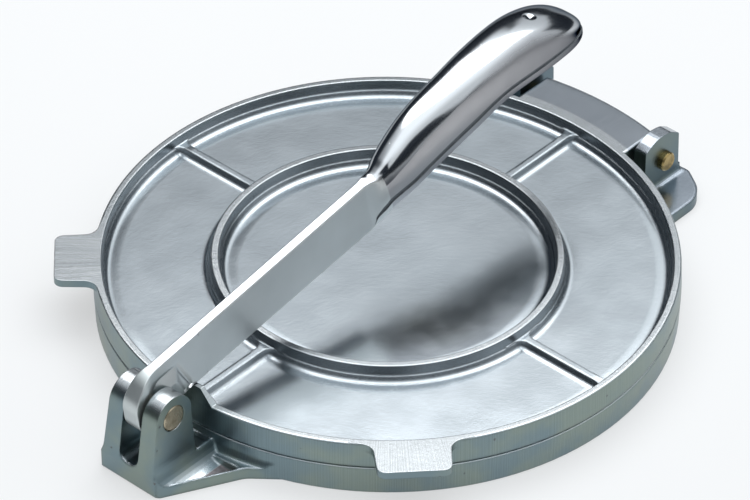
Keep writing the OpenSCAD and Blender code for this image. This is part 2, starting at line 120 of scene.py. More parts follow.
def cast_plate(name, top_z, floor_z, raw_z):
    """Cast aluminium plate, linished on its rim, ring and tabs, buffed in its trays and only filed on its
    walls. The linished tops are bright with fine lines that run outwards. The trays are satin, with a faint
    orange peel that breaks the edges of reflections. Its inner walls are duller, and its outer ones darker
    still, between green and blue, with the same lines running down them and a few pits; that darkness is
    partly their filed finish and partly a painted dark reflection of dim surroundings. The floors of the
    pockets outside the plate, which lie below raw_z, are dark and coarse."""
    mat, tree, place, facing = bare_metal(name)
    x, y, z = add(tree, SEPARATE, {}, {0: place}).node.outputs
    up = add(tree, SEPARATE, {}, {0: facing}, 2)
    level = add(tree, "ShaderNodeCombineXYZ", {}, {0: x, 1: y})
    reach = add(tree, VECTOR, {"operation": "LENGTH"}, {0: level}, "Value")

    # where each finish lies: linished tops, buffed trays, the round plate, and what lies outside its rim
    flat = add(tree, RANGE, SMOOTH, {0: up, 1: 0.55, 2: 0.95})
    high = add(tree, RANGE, SMOOTH, {0: z, 1: (top_z - 0.6) * MM, 2: (top_z - 0.15) * MM})
    top = add(tree, MATH, TIMES, {0: flat, 1: high})
    tray = add(tree, MATH, MINUS, {0: flat, 1: top})
    on_plate = add(tree, RANGE, SMOOTH, {0: reach, 1: (PLATE_R + 2) * MM, 2: (PLATE_R + 1) * MM})
    outside = add(tree, RANGE, SMOOTH, {0: reach, 1: (RIM_IN - 0.5) * MM, 2: (RIM_IN + 1) * MM})

    # lines run outwards: a noise of the angle round the plate, 1.1 mm between lines at its edge
    angle = add(tree, MATH, {"operation": "ARCTAN2"}, {0: y, 1: x})
    arc = add(tree, MATH, TIMES, {0: angle, 1: PLATE_R / 1.1})
    lines = add(tree, NOISE, {"noise_dimensions": "1D"}, {"W": arc, "Detail": 3.0, "Roughness": 0.6})
    lines = add(tree, RANGE, SMOOTH, {0: lines, 1: 0.3, 2: 0.7})
    ruled = add(tree, MATH, {"operation": "MAXIMUM"}, {0: top, 1: on_plate})
    lines = add(tree, MIX, {}, {0: ruled, 2: 0.5, 3: lines})
    lined = add(tree, MIX, {}, {0: tray, 2: lines, 3: 0.5})

    # patches of several sizes, down to the grain of the casting, and scattered pits on what isn't flat
    drift = add(tree, NOISE, {}, {"Vector": place, "Scale": per_mm(40), "Detail": 2.0})
    hue = add(tree, NOISE, {}, {"Vector": place, "Scale": per_mm(18), "Detail": 3.0})
    hue = add(tree, RANGE, SMOOTH, {0: hue, 1: 0.35, 2: 0.65})
    cloud = add(tree, NOISE, {}, {"Vector": place, "Scale": per_mm(14), "Detail": 4.0})
    cloud = add(tree, RANGE, SMOOTH, {0: cloud, 1: 0.35, 2: 0.7})
    peel = add(tree, NOISE, {}, {"Vector": place, "Scale": per_mm(1.6), "Detail": 2.0})
    grain = add(tree, NOISE, {}, {"Vector": place, "Scale": per_mm(0.6), "Detail": 1.0})
    pits = add(tree, NOISE, {}, {"Vector": place, "Scale": per_mm(2.2), "Detail": 0.0})
    pits = add(tree, RANGE, SMOOTH, {0: pits, 1: 0.83, 2: 0.88})
    pits = add(tree, MIX, {}, {0: flat, 2: pits, 3: 0.0})

    tray_tint = add(tree, MIX, COLOUR, {0: drift, 6: linear("#C6CFD5"), 7: linear("#D6DDE2")}, 2)
    # the walls' darker, green-blue tints are partly their filed finish and partly a painted dark reflection
    # of dim surroundings
    outer_finish_and_dark_reflection = add(tree, MIX, COLOUR, {0: hue, 6: linear("#88958F"), 7: linear("#7A8C92")}, 2)
    soft_light = {**COLOUR, "blend_type": "SOFT_LIGHT"}
    outer_finish_and_dark_reflection = add(tree, MIX, soft_light, {0: 0.25, 6: outer_finish_and_dark_reflection, 7: lines}, 2)
    wall_finish_and_dark_reflection = add(tree, MIX, COLOUR, {0: outside, 6: linear("#9BA2A7"), 7: outer_finish_and_dark_reflection}, 2)
    top_tint = add(tree, MIX, COLOUR, {0: lines, 6: linear("#B7BDC0"), 7: linear("#D6DADD")}, 2)
    tint = add(tree, MIX, COLOUR, {0: flat, 6: wall_finish_and_dark_reflection, 7: tray_tint}, 2)
    tint = add(tree, MIX, COLOUR, {0: top, 6: tint, 7: top_tint}, 2)
    tint = add(tree, MIX, COLOUR, {0: pits, 6: tint, 7: linear("#6A7072")}, 2)
    # the pockets' floors are darker and coarser
    pocket = add(tree, RANGE, SMOOTH, {0: z, 1: raw_z * MM, 2: (raw_z - 0.2) * MM})
    pocket = add(tree, MATH, TIMES, {0: pocket, 1: add(tree, MATH, TIMES, {0: flat, 1: outside})})
    skin = add(tree, MIX, COLOUR, {0: peel, 6: linear("#6B666A"), 7: linear("#A39EA0")}, 2)
    tint = add(tree, MIX, COLOUR, {0: pocket, 6: tint, 7: skin}, 2)
    # the hinge's block and lugs, behind the round plate, are a little darker
    rear = add(tree, RANGE, SMOOTH, {0: y, 1: 55 * MM, 2: 75 * MM})
    rear = add(tree, MIX, {}, {0: on_plate, 2: rear, 3: 0.0})
    darken = {**COLOUR, "blend_type": "MULTIPLY"}
    tint = add(tree, MIX, darken, {0: rear, 6: tint, 7: linear("#D6D9DF")}, 2)

    tray_rough = add(tree, MIX, {}, {0: cloud, 2: 0.17, 3: 0.22})
    wall_rough = add(tree, MIX, {}, {0: outside, 2: 0.26, 3: 0.36})
    rough = add(tree, MIX, {}, {0: flat, 2: wall_rough, 3: tray_rough})
    rough = add(tree, MIX, {}, {0: top, 2: rough, 3: 0.2})
    rough = add(tree, MIX, {}, {0: pocket, 2: rough, 3: 0.46})

    # the casting's edges are soft: 0.5 mm round outside, and broad where a tray's floor runs up into a wall
    low = add(tree, RANGE, SMOOTH, {0: z, 1: (floor_z + 3.4) * MM, 2: (floor_z + 2.2) * MM})
    soft = add(tree, MIX, {}, {0: low, 2: 0.5 * MM, 3: 1.6 * MM})
    normal = add(tree, "ShaderNodeBevel", {"samples": 4}, {"Radius": soft})
    for height, depth in ((drift, 0.18), (peel, 0.012), (grain, 0.006), (lined, 0.006), (pits, -0.08)):
        normal = add(tree, BUMP, {}, {"Height": height, "Distance": depth * MM, "Strength": 1.0,
                                      "Normal": normal})
    # the trays' floors are a little crowned: they fall away over 5.5 mm before the rim and, in the middle
    # dish, before the ring
    rim_fall = add(tree, RANGE, SMOOTH, {0: reach, 1: (RIM_IN - 6.5) * MM, 2: (RIM_IN - 1) * MM})
    ring_fall = add(tree, RANGE, SMOOTH, {0: reach, 1: (RING_IN - 7.3) * MM, 2: (RING_IN - 1.8) * MM})
    fall = add(tree, MATH, {}, {0: rim_fall, 1: ring_fall})
    normal = add(tree, BUMP, {}, {"Height": fall, "Distance": -0.2 * MM, "Strength": tray, "Normal": normal})
    dress(tree, tint, rough, normal)
    return mat


def polished_lever(name):
    """Cast aluminium lever: the grip is buffed to a mirror and the bar's top linished bright, while the bar's
    sides stay satin with a soft cloudy stain and the nose round the pin is dull and a little green."""
    mat, tree, place, facing = bare_metal(name)
    turned = add(tree, "ShaderNodeMapping", {"vector_type": "TEXTURE"},
                 {"Vector": place, "Location": pivot.tolist(), "Rotation": (LEAN, 0, 0)})
    along, raised = add(tree, SEPARATE, {}, {0: turned}).node.outputs[1:]
    sideways, _, up = add(tree, SEPARATE, {}, {0: facing}).node.outputs
    across = add(tree, MATH, SIZE_OF, {0: sideways})
    seam = (BUFFED_FROM * MM, (BUFFED_FROM + 0.5) * MM)
    bar = add(tree, RANGE, SMOOTH, {0: along, 1: seam[0], 2: seam[1], 3: 1.0, 4: 0.0})

    # the satin runs on along the grip's flanks up to a line. A ramp gives the line's height, in units of
    # line_unit, from line_from to line_to along the grip. The line blurs towards the tip.
    line_from, line_to, line_unit = 110, 210, 40
    share = add(tree, RANGE, {}, {0: along, 1: line_from * MM, 2: line_to * MM})
    line = add(tree, "ShaderNodeValToRGB", {}, {0: share})
    fill_ramp(line, [((a - line_from) / (line_to - line_from), height / line_unit) for a, height in (
        (110, 9.5), (114, 11.5), (120.4, 14.9), (133, 20.2), (140, 21.8), (150, 23.6), (160, 24.6),
        (171, 26.1), (180, 26.6), (188.4, 25.8), (196.6, 22.5), (200.8, 19.9), (205, 16.3), (210, 10.5))])
    here = add(tree, MATH, TIMES, {0: raised, 1: 1 / (line_unit * MM)})
    under = add(tree, MATH, MINUS, {0: line, 1: here})
    blur = add(tree, RANGE, SMOOTH, {0: along, 1: 150 * MM, 2: 172 * MM, 3: 0.010, 4: 0.07})
    under = add(tree, MATH, OVER, {0: under, 1: blur})
    under = add(tree, RANGE, SMOOTH, {0: under, 1: -1.0})
    side = add(tree, RANGE, SMOOTH, {0: across, 1: 0.6, 2: 0.9})
    satin = add(tree, MIX, {}, {0: bar, 2: under, 3: side})
    nose = add(tree, RANGE, SMOOTH, {0: along, 1: -2 * MM, 2: 9 * MM, 3: 1.0, 4: 0.0})

    drift = add(tree, NOISE, {}, {"Vector": place, "Scale": per_mm(22), "Detail": 3.0})
    cloud = add(tree, NOISE, {}, {"Vector": place, "Scale": per_mm(6), "Detail": 4.0, "Roughness": 0.6})
    cloud = add(tree, RANGE, SMOOTH, {0: cloud, 1: 0.3, 2: 0.75})
    ripple = add(tree, NOISE, {}, {"Vector": place, "Scale": per_mm(16), "Detail": 1.0})
    peel = add(tree, NOISE, {}, {"Vector": place, "Scale": per_mm(1.0), "Detail": 2.0})
    pits = add(tree, NOISE, {}, {"Vector": place, "Scale": per_mm(1.6), "Detail": 0.0})
    pits = add(tree, RANGE, SMOOTH, {0: pits, 1: 0.84, 2: 0.89})

    bar_tint = add(tree, MIX, COLOUR, {0: drift, 6: linear("#C2C6C6"), 7: linear("#D6D9D9")}, 2)
    # the flanks' colour grows darker towards the tip
    toward_tip = add(tree, RANGE, {}, {0: along, 1: 150 * MM, 2: 205 * MM})
    tipward_tint = add(tree, MIX, COLOUR, {0: toward_tip, 6: linear("#B4B4B7"), 7: linear("#8A8B8F")}, 2)
    satin_tint = add(tree, MIX, COLOUR, {0: bar, 6: tipward_tint, 7: bar_tint}, 2)
    # painted shade: the mirror is painted dark where its faces turn from up to sideways and under, standing
    # in for the dark it would mirror there
    painted_underside_shade = add(tree, RANGE, SMOOTH, {0: up, 1: 0.5, 2: 0.2})
    mirror_tint_and_painted_shade = add(tree, MIX, COLOUR, {0: painted_underside_shade, 6: linear("#D0D4D8"), 7: linear("#3C4046")}, 2)
    tint = add(tree, MIX, COLOUR, {0: satin, 6: mirror_tint_and_painted_shade, 7: satin_tint}, 2)
    tint = add(tree, MIX, COLOUR, {0: nose, 6: tint, 7: linear("#D3DADA")}, 2)
    bright = add(tree, MIX, {}, {0: bar, 2: 0.14, 3: 0.16})
    dull = add(tree, MIX, {}, {0: cloud, 2: 0.3, 3: 0.38})
    rough = add(tree, MIX, {}, {0: satin, 2: bright, 3: dull})
    rough = add(tree, MIX, {}, {0: nose, 2: rough, 3: 0.45})
    normal = add(tree, BUMP, {}, {"Height": ripple, "Distance": 0.1 * MM, "Strength": 1.0})
    for height, depth in ((peel, 0.006), (pits, -0.06)):
        normal = add(tree, BUMP, {}, {"Height": height, "Distance": depth * MM, "Strength": 1.0,
                                      "Normal": normal})
    dress(tree, tint, rough, normal)
    # polished aluminium loses a little of its glare where it turns away
    tree.nodes["Principled BSDF"].inputs["Specular Tint"].default_value = linear("#5A6068")
    return mat


def as_cast(name):
    """Raw cast aluminium inside the grip: grey, matt and coarse, as the mould left it. Half way along, the
    faces that look down carry a painted reflection, pale yellowish grey."""
    mat, tree, place, facing = bare_metal(name)
    skin = add(tree, NOISE, {}, {"Vector": place, "Scale": per_mm(1.1), "Detail": 4.0})
    tint = add(tree, MIX, COLOUR, {0: skin, 6: linear("#5C6165"), 7: linear("#8A8F93")}, 2)
    # the painted reflection is fullest at its place behind the plates' middle, and gone at its reach from
    # there
    reflection_at, reflection_reach = 27, 18
    y = add(tree, SEPARATE, {}, {0: place}, 1)
    away = add(tree, RANGE, {"clamp": False}, {0: y, 1: reflection_at * MM, 2: (reflection_at + reflection_reach) * MM})
    middle = add(tree, RANGE, SMOOTH, {0: add(tree, MATH, SIZE_OF, {0: away}), 1: 1.0, 2: 0.3})
    down = add(tree, RANGE, SMOOTH, {0: add(tree, SEPARATE, {}, {0: facing}, 2), 1: -0.1, 2: -0.4})
    painted_reflection = add(tree, MATH, TIMES, {0: middle, 1: down})
    tint = add(tree, MIX, COLOUR, {0: painted_reflection, 6: tint, 7: linear("#BAB8AD")}, 2)
    rough = add(tree, RANGE, {}, {0: skin, 3: 0.45, 4: 0.62})
    dress(tree, tint, rough, add(tree, BUMP, {}, {"Height": skin, "Distance": 0.05 * MM, "Strength": 1.0}))
    return mat


def plated_pin(name, light, dark):
    """Zinc plated steel pin, yellow passivated: a warm dull metal with cloudy stains and turning marks."""
    mat, tree, place, _ = bare_metal(name)
    stain = add(tree, NOISE, {}, {"Vector": place, "Scale": per_mm(3), "Detail": 4.0, "Roughness": 0.65})
    stain = add(tree, RANGE, SMOOTH, {0: stain, 1: 0.35, 2: 0.7})
    marks = add(tree, NOISE, {}, {"Vector": place, "Scale": per_mm(0.9), "Detail": 2.0})
    tint = add(tree, MIX, COLOUR, {0: stain, 6: linear(light), 7: linear(dark)}, 2)
    rough = add(tree, MIX, {}, {0: stain, 2: 0.25, 3: 0.42})
    normal = add(tree, "ShaderNodeBevel", {"samples": 4}, {"Radius": 0.3 * MM})
    normal = add(tree, BUMP, {}, {"Height": marks, "Distance": 0.01 * MM, "Strength": 1.0, "Normal": normal})
    dress(tree, tint, rough, normal)
    return mat


# the upper plate has no pocket, so its raw_z is 0
plate_metal = cast_plate("cast_aluminium_buffed_plate", RIM_Z, TRAY_Z, 0.0)
base_metal = cast_plate("cast_aluminium_filed_base", BASE_Z, RECESS_Z, POCKET_Z)
lever_metal = polished_lever("cast_aluminium_polished_lever")
# the raw hollow metal also serves as painted shade in the crease over the grip's bead
hollow_and_crease_shade_metal = as_cast("cast_aluminium_raw_hollow_and_crease_shade")
dull_pin = plated_pin("zinc_plated_steel_dull", "#B3A993", "#8D8470")
yellow_pin = plated_pin("zinc_plated_steel_yellow", "#A89464", "#7C6D4A")

for key, mat in (("base_plate", base_metal), ("top_plate", plate_metal), ("lever_pin", dull_pin),
                 ("hinge_pin_left", yellow_pin), ("hinge_pin_right", yellow_pin)):
    nodes[key].data.materials.clear()
    nodes[key].data.materials.append(mat)


# ---------------------------------------------------------------- surfaces

def column(values):
    """A row of values as one value for each row of a grid."""
    return values[:, None]


def grid_faces(rows, cols, wrap_rows, wrap_cols, first):
    """Quads between neighbours of a rows by cols grid of points, joined round in either direction if asked.
    The grid's points are numbered from first on."""
    i = np.arange(rows if wrap_rows else rows - 1)[:, None]
    j = np.arange(cols if wrap_cols else cols - 1)[None, :]
    a, b = i * cols + j, i * cols + (j + 1) % cols
    c, d = (i + 1) % rows * cols + (j + 1) % cols, (i + 1) % rows * cols + j
    return np.stack([a, b, c, d], -1).reshape(-1, 4) + first


def casting(name, sheets, body, replaced, materials):
    """One mesh from several (points, wrap_rows, wrap_cols, paint) sheets in millimetres, where paint is the
    number of each face's material, row by row. Doubles are merged and normals turned outwards, then edges
    sharper than 35 degrees stay crisp and the rest are smooth."""
    points, faces, paints, first = [], [], [], 0
    for grid, wrap_rows, wrap_cols, paint in sheets:
        rows, cols = grid.shape[:2]
        quads = (rows if wrap_rows else rows - 1, cols if wrap_cols else cols - 1)
        points.append(grid.reshape(-1, 3))
        faces.append(grid_faces(rows, cols, wrap_rows, wrap_cols, first))
        paints.append(np.broadcast_to(paint, quads).ravel())
        first += rows * cols
    mesh = bpy.data.meshes.new(name)
    mesh.from_pydata((np.concatenate(points) * MM).tolist(), [], np.concatenate(faces).tolist())
    mesh.polygons.foreach_set("material_index", np.concatenate(paints).astype(np.int32))
    work = bmesh.new()
    work.from_mesh(mesh)
    bmesh.ops.remove_doubles(work, verts=work.verts, dist=0.002 * MM)
    bmesh.ops.recalc_face_normals(work, faces=work.faces)
    work.to_mesh(mesh)
    work.free()
    mesh.shade_smooth()
    mesh.set_sharp_from_angle(angle=math.radians(35))
    obj = bpy.data.objects.new(name, mesh)
    bpy.context.scene.collection.objects.link(obj)
    for mat in materials:
        mesh.materials.append(mat)
    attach(obj, body)
    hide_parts(replaced)


def rounded_outline(corners, steps):
    """A closed outline whose corners (x, y, radius) become arcs of that many steps, tangent to both sides."""
    outline = []
    for i, (x, y, radius) in enumerate(corners):
        corner = np.array([x, y], float)
        if radius <= 0:
            outline.append(corner[None])
            continue
        back = np.array(corners[i - 1][:2], float) - corner
        on = np.array(corners[(i + 1) % len(corners)][:2], float) - corner
        back, on = back / np.linalg.norm(back), on / np.linalg.norm(on)
        half = math.acos(np.clip(back @ on, -1, 1)) / 2
        centre = corner + (back + on) / np.linalg.norm(back + on) * radius / math.sin(half)
        first = corner + back * radius / math.tan(half) - centre
        last = corner + on * radius / math.tan(half) - centre
        start = math.atan2(first[1], first[0])
        turn = (math.atan2(last[1], last[0]) - start + 3 * math.pi) % (2 * math.pi) - math.pi
        angles = start + turn * np.linspace(0, 1, steps + 1)
        outline.append(centre + radius * np.stack([np.cos(angles), np.sin(angles)], -1))
    return np.concatenate(outline)


def smooth_column(table, number, share):
    """Cubic curve through column number of a table, over its first column. Its slope at each row is that of
    the line between the row's two neighbours."""
    x, y = table[:, 0], table[:, number]
    slope = np.empty_like(y)
    slope[0], slope[-1] = (y[1] - y[0]) / (x[1] - x[0]), (y[-1] - y[-2]) / (x[-1] - x[-2])
    slope[1:-1] = (y[2:] - y[:-2]) / (x[2:] - x[:-2])
    i = np.clip(np.searchsorted(x, share) - 1, 0, len(x) - 2)
    gap = x[i + 1] - x[i]
    u = (share - x[i]) / gap
    return ((2 * u ** 3 - 3 * u ** 2 + 1) * y[i] + (u ** 3 - 2 * u ** 2 + u) * gap * slope[i]
            + (3 * u ** 2 - 2 * u ** 3) * y[i + 1] + (u ** 3 - u ** 2) * gap * slope[i + 1])


def step(a, b, v):
    """0 at a and beyond it, 1 at b and beyond it, and a smooth change between."""
    u = np.clip((v - a) / (b - a), 0, 1)
    return u * u * (3 - 2 * u)


def soft_least(a, b, r):
    """The smaller of a and b, with the crease between them rounded over about r."""
    h = np.maximum(r - np.abs(a - b), 0) / r
    return np.minimum(a, b) - h * h * r / 4


def soft_most(a, b, r):
    """The greater of a and b, with the crease between them rounded over about r."""
    return -soft_least(-a, -b, r)


# ---------------------------------------------------------------- lever

# the bar's top at the pin, its rise by the grip, its underside below the pin, and its half width at its foot
# and at its top
BAR_TOP, BAR_RISE, BAR_DROP, FOOT_HALF, TOP_HALF = 14.6, 1.2, 3.6, 3.3, 1.8
HUB_R, HUB_HALF, BORE_R = 9.2, 3.5, 4.88
# height of the boss behind the hub, and where along the bar it ends
BOSS_TOP, BOSS_END = 8.4, 12.2
# the head is one sheet up to here, and the bar and grip another
HEAD_TO = 24.0
# the grip's greatest half width, its crown's and its lower edge's rise, its wall and its dimple's place
GRIP_HALF, GRIP_RISE, EDGE_RISE, GRIP_WALL, DIMPLE_AT = 13.5, 14.8, 16.6, 2.6, 196.8
# rounding of the bar's and the head's edges
EDGE_R = 0.5
# share of the grip's length, half width, crown, edge, power of the section, narrowing at its crown
GRIP = np.array([
    [0, .2444, 0, 0, 9, .4545], [.027, .31, .005, .13, 6, .42], [.049, .385, .01, .23, 3.6, .38],
    [.072, .455, .10, .36, 3.2, .33], [.099, .52, .24, .435, 3, .26], [.153, .61, .46, .53, 2.7, .20],
    [.224, .67, .69, .65, 2.6, .17], [.314, .71, .815, .75, 2.7, .12], [.431, .73, .875, .83, 2.8, .05],
    [.566, .78, .92, .955, 2.7, 0], [.70, .84, .865, .915, 2.7, 0], [.835, .91, .615, .845, 2.7, 0],
    [1, 1.04, .29, .64, 2.7, 0]])
# the tip's cap starts at this share of the grip's length, and this power rounds it
CAP_FROM, CAP_POWER = 0.73, 2.3


def leaning(x, s, w):
    """Lever axes (across, along the bar from its pin, up from the bar) to the press's own, leaning LEAN."""
    c, n = math.cos(LEAN), math.sin(LEAN)
    x, s, w = np.broadcast_arrays(x, s, w)
    return pivot / MM + np.stack([x, s * c - w * n, s * n + w * c], -1)


def lever_sections(s):
    """Half width, lower edge, crown, power and narrowing of the lever's section at distance s from the pin:
    the straight bar up to GRIP_FROM, then the grip's table, closed at the tip by a rounded cap."""
    share = np.clip((s - GRIP_FROM) / (GRIP_TO - GRIP_FROM), 0, 1)
    cap = np.sqrt(np.maximum(0, 1 - (np.maximum(0, share - CAP_FROM) / (1 - CAP_FROM)) ** CAP_POWER))
    half = GRIP_HALF * smooth_column(GRIP, 1, share) * cap
    edge = -BAR_DROP + EDGE_RISE * smooth_column(GRIP, 3, share)
    top = BAR_TOP + BAR_RISE * np.clip(s / GRIP_FROM, 0, 1) + GRIP_RISE * smooth_column(GRIP, 2, share)
    crown = edge + (top - edge) * cap
    return half, edge, crown, smooth_column(GRIP, 4, share), smooth_column(GRIP, 5, share)


def arch(half, height, narrow, power, grip, count):
    """Upper outline of each section as count points (x, up) from right to left. The bar's is a box that
    narrows by the share narrow towards its top, with corners of EDGE_R. The grip's is
    |x|^power + |up|^power = 1, narrowed too. grip blends them."""
    side, turn = np.linspace(0, 1, count * 2 // 7), np.radians(np.linspace(0, 90, count // 12)[1:-1])
    flat = count - 2 * (len(side) + len(turn))
    r = EDGE_R * np.minimum(1, half / 3)
    x_top = half * (1 - narrow)
    up = column(height - r) * side[None, :]
    x = column(half) * (1 - column(narrow) * up / column(np.maximum(height, 1e-6)))
    x_turn = column(x_top - r) + column(r) * np.cos(turn)[None, :]
    up_turn = column(height - r) + column(r) * np.sin(turn)[None, :]
    x_flat = column(x_top - r) * np.linspace(1, -1, flat)[None, :]
    up_flat = np.broadcast_to(column(height), x_flat.shape)
    box_x = np.concatenate([x, x_turn, x_flat, -x_turn[:, ::-1], -x[:, ::-1]], 1)
    box_up = np.concatenate([up, up_turn, up_flat, up_turn[:, ::-1], up[:, ::-1]], 1)
    a = np.linspace(0, np.pi, count)[None, :]
    share = 2 / column(np.clip(power, 2.4, 4))
    oval_up = np.abs(np.sin(a)) ** share
    oval_x = column(half) * np.sign(np.cos(a)) * np.abs(np.cos(a)) ** share
    oval_x = oval_x * (1 - column(narrow) * oval_up ** 1.5)
    box, oval = 1 - column(grip), column(grip)
    return box * box_x + oval * oval_x, box * box_up + oval * column(height) * oval_up


def grip_stations():
    """Distances from the pin to the rings: wide apart on the bar, close where the grip starts and round the
    dimple, and closing up along a sine towards the rounded tip."""
    start_from, start_to, tip_run = 100, 126, 30
    bar = np.linspace(HEAD_TO, start_from, 12)
    start = np.linspace(start_from, start_to, 66)[1:]
    middle = np.linspace(start_to, GRIP_TO - tip_run, 45)[1:]
    dimple = np.linspace(DIMPLE_AT - 3, DIMPLE_AT + 3, 25)
    tip = GRIP_TO - tip_run * (1 - np.sin(np.linspace(0, np.pi / 2, 60)))
    s = np.concatenate([bar, start, middle, dimple, tip])
    return np.unique(np.round(np.minimum(s, GRIP_TO - 0.002), 4))


def dimple_depth(x, s):
    """Depth of the dimple in the crown: the cap of a ball of radius 4 mm, 0.65 mm deep, with a pit in its
    middle that is a bell curve 0.45 mm deep."""
    ball_r, cap_depth, pit_depth, pit_r = 4, 0.65, 0.45, 0.75
    off = np.hypot(x, s - DIMPLE_AT)
    cap = np.sqrt(np.maximum(0, ball_r ** 2 - off ** 2)) - (ball_r - cap_depth)
    return np.maximum(0, cap) * (off < ball_r) + pit_depth * np.exp(-(off / pit_r) ** 2)


def bar_and_grip():
    """Rings carried along the bar. A ring is an arch stood on the lower edge, a small bead and a flat lip
    with rounded corners along that edge and, in the grip, a second arch one wall inside the first. The dimple
    is pressed into the crown near the tip."""
    s = grip_stations()
    half, edge, crown, power, narrow = lever_sections(s)
    ds = 0.01
    slope = (lever_sections(s)[0] - lever_sections(s - ds)[0]) / ds
    nx, ns = 1 / np.sqrt(1 + slope ** 2), -slope / np.sqrt(1 + slope ** 2)
    # the hollow opens behind the grip's start, and the bead and its foot grow out of the bar there
    hollow = step(GRIP_FROM + 8, GRIP_FROM + 17, s)
    starts = step(GRIP_FROM + 0.5, GRIP_FROM + 2.5, s) * np.minimum(1, half / 3)
    lip, bead = 0.4 * np.minimum(1, half / 2), 0.5 * starts
    foot = np.minimum(lip + 2.2 * starts, 0.3 * (crown - edge))
    lip = np.minimum(lip, foot)
    grip = step(GRIP_FROM + 2, GRIP_FROM + 8, s)

    # outer arch, from right to left over the crown
    x, rise = arch(half, crown - edge - foot, narrow, power, grip, 97)
    rise = rise + column(foot)
    rise = rise - dimple_depth(x, column(s)) * (rise > 0.6 * column(crown - edge))
    outer = leaning(x, column(s), column(edge) + rise)
    # bead and its rounded lower corner on the left, the inner arch from left to right, then the right bead
    q = np.radians([0, 30, 60, 90])[None, :]
    corner_x = column(half + bead) - column(lip) * (1 - np.cos(q))
    corner_w = column(edge) + column(lip) * (1 - np.sin(q))
    lip_x = np.concatenate([column(half + bead), corner_x], 1)
    lip_w = np.concatenate([column(edge + foot), corner_w], 1)
    left = leaning(-lip_x, column(s), lip_w)
    right = leaning(lip_x[:, ::-1], column(s), lip_w[:, ::-1])
    half_in = np.maximum(half - GRIP_WALL * nx, 0.12 * half)
    depth = np.maximum(crown - edge - GRIP_WALL, 0) * hollow
    x_in, up_in = arch(half_in, depth, narrow, power, np.ones_like(s), 49)
    inner = leaning(-x_in, column(s - GRIP_WALL * ns * hollow), column(edge) + up_in)
    ring = np.concatenate([outer, left, inner, right], 1)
    # at both ends the rings close to a point, which at the start lies inside the head
    start = np.broadcast_to(leaning(0, HEAD_TO, 5.0), ring[:1].shape)
    tip = np.broadcast_to(ring[-1:].mean(1, keepdims=True), ring[-1:].shape)

    # the hollow keeps the raw skin of the casting, and the crease over the bead wears the same dark raw metal
    # as painted shade, for the shadow line where the flank meets the bead
    paint = np.zeros((len(ring) + 1, ring.shape[1]), int)
    n, m = outer.shape[1], left.shape[1]
    paint[:, n + m - 1:n + m + inner.shape[1]] = 1
    creased = np.searchsorted(s, GRIP_FROM + 2)
    paint[creased:, [0, n - 2, n - 1, -1]] = 1
    return np.concatenate([start, ring, tip]), False, True, paint


def head_outline():
    """The lever's side view round its pin, cut off at HEAD_TO."""
    top = BAR_TOP + BAR_RISE * HEAD_TO / GRIP_FROM
    return rounded_outline([
        [0, -BAR_DROP, 0], [HEAD_TO, -BAR_DROP, 0], [HEAD_TO, top, 0], [-1.5, BAR_TOP, 10],
        [-HUB_R, BAR_TOP * 0.48, 8], [-HUB_R, 0, 0], [-HUB_R * 0.9, -1, 0]], 12)


def head_half(s, w):
    """Half thickness of the lever's head: the drafted bar, the round hub that sweeps out of it in a cove, and
    a boss behind the hub whose upper and rear slopes meet in a ridge, with a soft groove round it."""
    height = np.clip((w + BAR_DROP) / (BAR_TOP + BAR_RISE + BAR_DROP), 0, 1)
    bar = FOOT_HALF - (FOOT_HALF - TOP_HALF) * height
    # the hub is flat out to cove_from, then thins by cove_depth over cove_run, and also towards the boss
    cove_from, cove_run, cove_depth = 8.2, 6.5, 2.2
    away = np.hypot(s + 2.0, w * 0.92 - 0.5)
    hub = HUB_HALF - cove_depth * np.maximum(0, (away - cove_from) / cove_run) ** 1.4
    hub = soft_least(hub, HUB_HALF - 0.35 * np.maximum(0, s + 2.5), 0.8)
    # the boss's upper and rear slopes, and the front one that rises out of the hub
    above = (BOSS_TOP - w) * 0.3
    behind = (BOSS_END + (BOSS_TOP - 1 - w) * 0.394 - s) * 0.36
    front = 2.0 + 0.55 * (s + 5.0)
    boss = soft_least(2.25 + soft_least(above, behind, 0.3), front, 0.5)
    # the groove is a bell curve 0.55 mm deep where those slopes run out
    edge = np.minimum(above, behind)
    groove = 0.55 * np.exp(-(np.minimum(edge, 0) / 0.5) ** 2) * (edge < 0.3)
    groove = groove * step(-4, 1, s) * step(23, 19, s) * (1 - step(-0.1, 0.3, edge))
    out = soft_most(soft_most(bar - groove, hub, 0.9), boss, 0.12)
    return np.minimum(out, HUB_HALF)


def outline_reach(outline, rays):
    """Distance from the pin along each ray to the outline's farthest side that it meets: a ray t * d meets
    the side p + k * e where t = p x e / d x e and k = p x d / d x e, with k between 0 and 1."""
    sides = np.roll(outline, -1, 0) - outline
    px, py, ex, ey = outline[None, :, 0], outline[None, :, 1], sides[None, :, 0], sides[None, :, 1]
    dx, dy = rays[:, :1], rays[:, 1:]
    cross = dx * ey - dy * ex
    cross = np.where(np.abs(cross) < 1e-9, 1e-9, cross)
    t, k = (px * ey - py * ex) / cross, (px * dy - py * dx) / cross
    return np.where((t > 0) & (k >= -1e-6) & (k <= 1 + 1e-6), t, 0).max(1)


